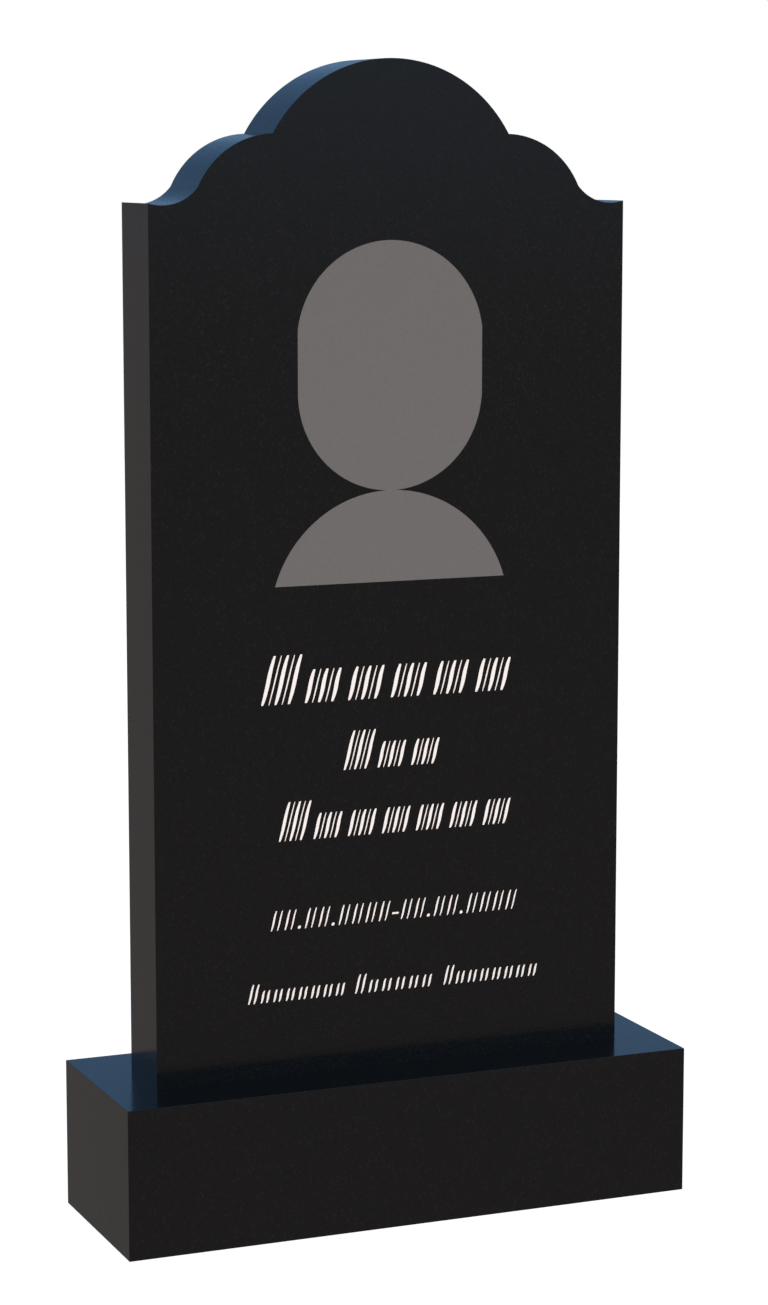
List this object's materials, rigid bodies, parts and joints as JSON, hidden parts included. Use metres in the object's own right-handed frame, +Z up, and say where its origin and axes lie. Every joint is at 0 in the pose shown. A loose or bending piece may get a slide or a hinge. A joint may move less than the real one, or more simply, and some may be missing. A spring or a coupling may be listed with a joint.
{
  "type": "headstone",
  "caption": "Upright polished black stone slab with a stepped round-topped crown and shallow inscription strokes, standing on a low rectangular plinth.",
  "frame": {"origin": "middle of the plinth's underside, on the surface it stands on", "axes": "+X along the slab's width, to the right as seen from the inscribed front; +Y from the inscribed front to the back; +Z up"},
  "size_m": [0.6, 0.2, 1.15],
  "materials": {
    "polished_black_stone": "polished"
  },
  "bodies": {
    "root": {"plinth": "polished_black_stone", "stele": "polished_black_stone"}
  },
  "joints": []
}
